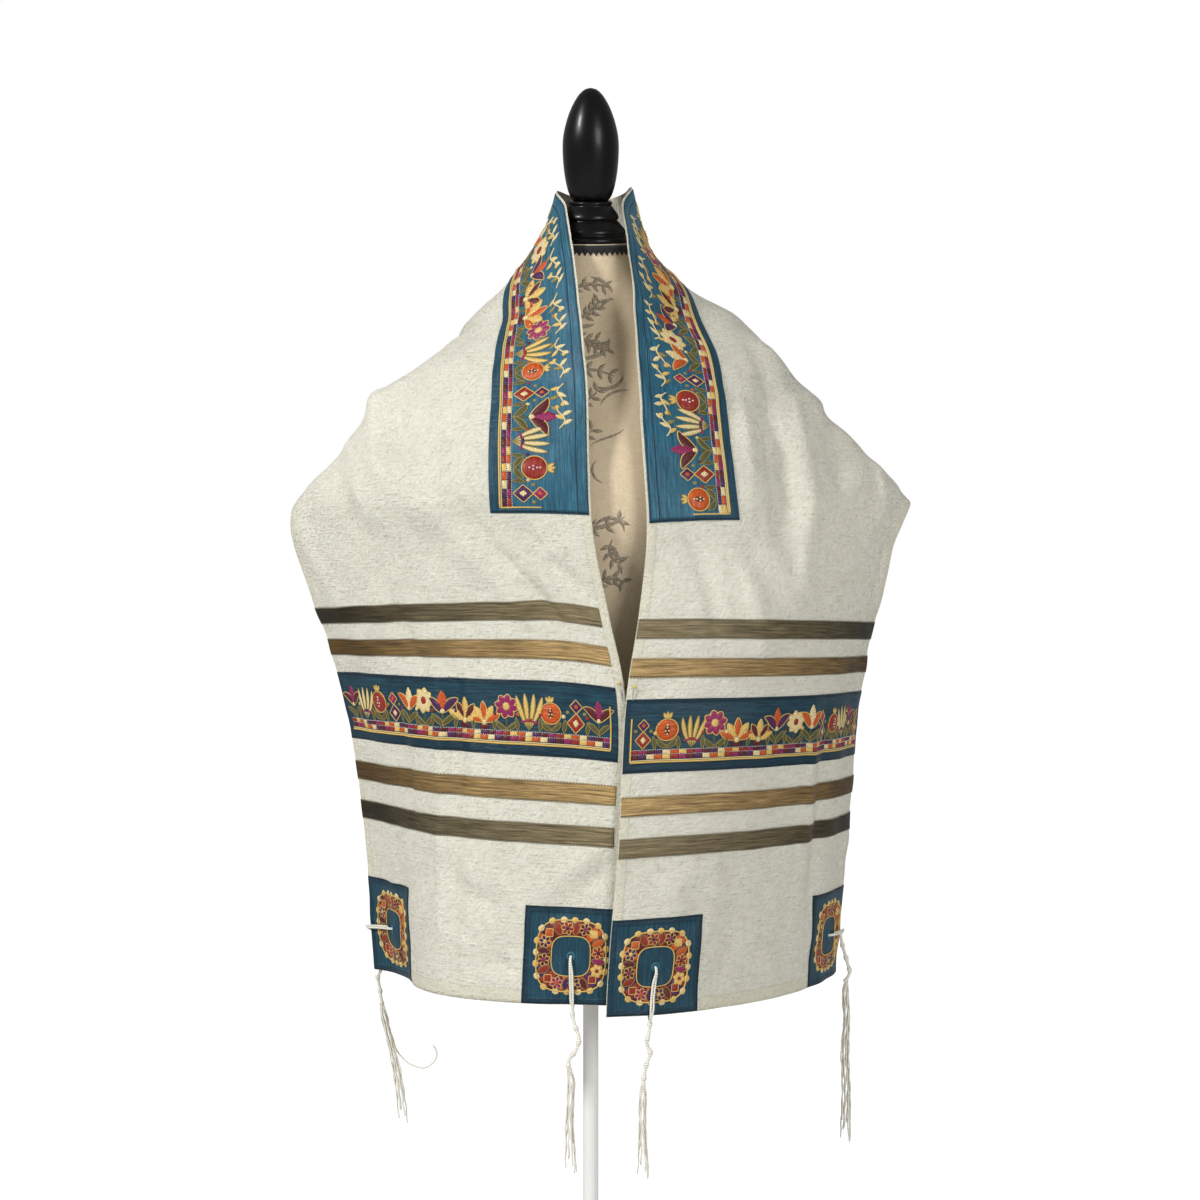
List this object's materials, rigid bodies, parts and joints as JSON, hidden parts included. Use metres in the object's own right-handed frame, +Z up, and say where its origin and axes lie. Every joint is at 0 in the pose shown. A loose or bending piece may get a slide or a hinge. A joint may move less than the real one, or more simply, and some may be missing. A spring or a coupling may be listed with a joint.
{
  "type": "prayer shawl on dress form",
  "caption": "Long ivory prayer shawl with teal and brown stripes, embroidered neckband, corner patches and knotted tassels, worn open in front by a limbless linen dress form on a stand.",
  "frame": {"origin": "on the floor under the middle of the shawl, on the underside of the stand's foot", "axes": "+Z up, -Y out of the front of the form, +X to the right of someone who faces it"},
  "size_m": [0.6543, 0.36, 1.5066],
  "materials": {
    "ivory_silk": "matte raw silk with slubs",
    "teal_silk": "slubbed dupion silk, embroidered",
    "dark_ribbon": "woven olive brown ribbon",
    "tan_ribbon": "woven golden brown ribbon",
    "white_wool": "twisted white wool cord",
    "printed_linen": "flecked linen with a brown print",
    "black_lacquer": "turned wood, gloss black lacquer",
    "black_braid": "black gimp braid",
    "white_enamel": "white enamel on steel"
  },
  "bodies": {
    "root": {"finial": "black_lacquer", "foot": "white_enamel", "form_torso": "printed_linen", "form_trim": "black_braid", "left_band": "teal_silk", "left_stripe_dark_high": "dark_ribbon", "left_stripe_dark_low": "dark_ribbon", "left_stripe_tan_high": "tan_ribbon", "left_stripe_tan_low": "tan_ribbon", "neck_cap": "black_lacquer", "neckband": "teal_silk", "patch_left_inner": "teal_silk", "patch_left_outer": "teal_silk", "patch_right_inner": "teal_silk", "patch_right_outer": "teal_silk", "pole": "white_enamel", "right_band": "teal_silk", "right_stripe_dark_high": "dark_ribbon", "right_stripe_dark_low": "dark_ribbon", "right_stripe_tan_high": "tan_ribbon", "right_stripe_tan_low": "tan_ribbon", "shawl": "ivory_silk", "tassel_left_inner": "white_wool", "tassel_left_outer": "white_wool", "tassel_right_inner": "white_wool", "tassel_right_outer": "white_wool"}
  },
  "joints": []
}
